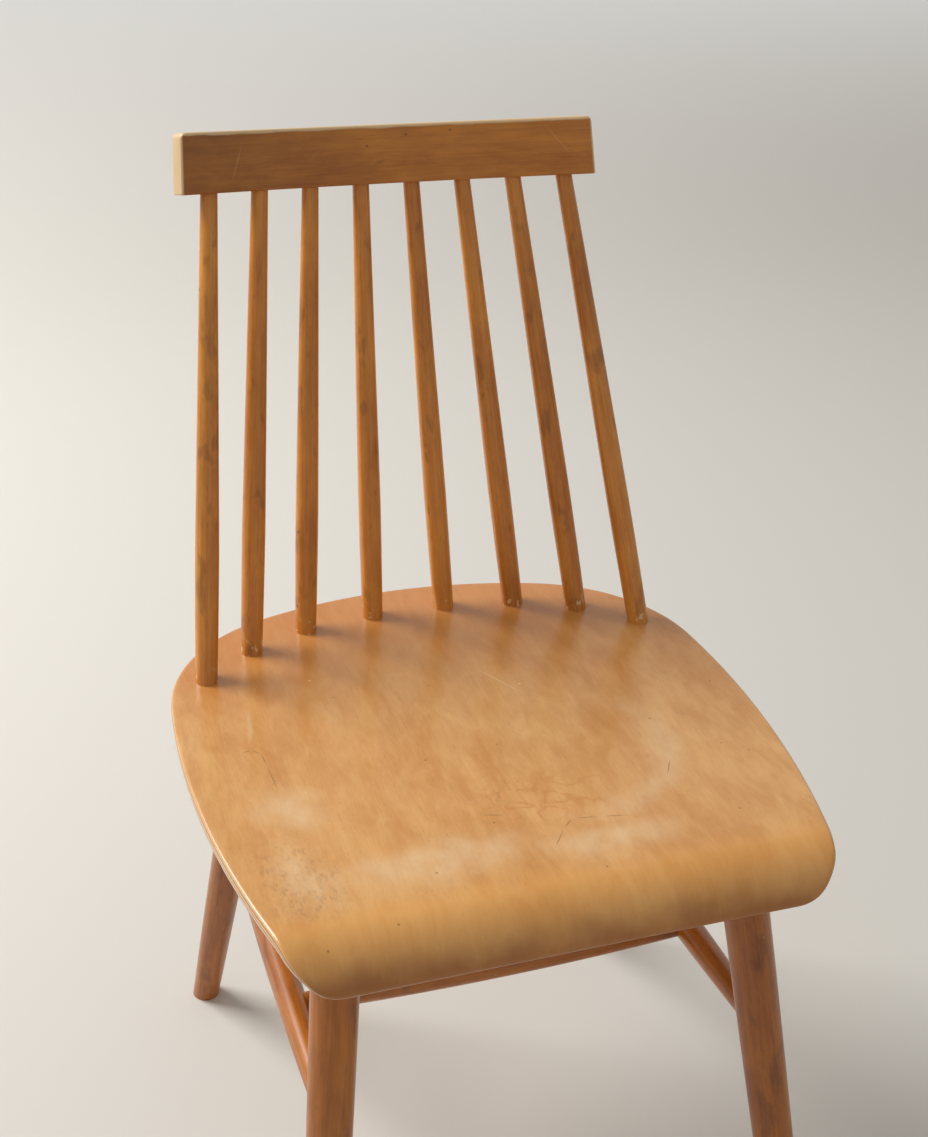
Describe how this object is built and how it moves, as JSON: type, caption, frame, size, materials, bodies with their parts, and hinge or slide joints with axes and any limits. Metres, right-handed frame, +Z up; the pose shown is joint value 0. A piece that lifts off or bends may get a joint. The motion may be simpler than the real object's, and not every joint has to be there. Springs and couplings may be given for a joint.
{
  "type": "spindle-back dining chair",
  "caption": "Spindle-back wooden dining chair with a moulded plywood seat rolled down at the front, splayed turned legs and stretchers, and a curved crest rail.",
  "frame": {"origin": "on the floor, under the middle of the chair's overall width and depth", "axes": "+Z up, +Y towards the back of the chair, +X to the right as seen from the front; left and right in node names are as seen from the front"},
  "size_m": [0.452, 0.5597, 0.8422],
  "materials": {
    "seat_wood": "satin lacquer over plywood face veneer",
    "crest_wood": "satin lacquer, darker front face",
    "bearer_wood": "matt, barely lacquered",
    "leg_wood": "satin lacquer",
    "stretcher_wood": "satin lacquer",
    "spindle_wood": "satin lacquer",
    "screw_steel": "zinc-plated steel"
  },
  "bodies": {
    "root": {"seat_shell": "seat_wood", "crest_rail": "crest_wood", "front_bearer": "bearer_wood", "rear_bearer": "bearer_wood", "front_left_leg": "leg_wood", "front_right_leg": "leg_wood", "rear_left_leg": "leg_wood", "rear_right_leg": "leg_wood", "left_side_stretcher": "stretcher_wood", "right_side_stretcher": "stretcher_wood", "cross_stretcher": "stretcher_wood", "bearer_screws": "screw_steel", "spindle_1": "spindle_wood", "spindle_2": "spindle_wood", "spindle_3": "spindle_wood", "spindle_4": "spindle_wood", "spindle_5": "spindle_wood", "spindle_6": "spindle_wood", "spindle_7": "spindle_wood", "spindle_8": "spindle_wood"}
  },
  "joints": []
}
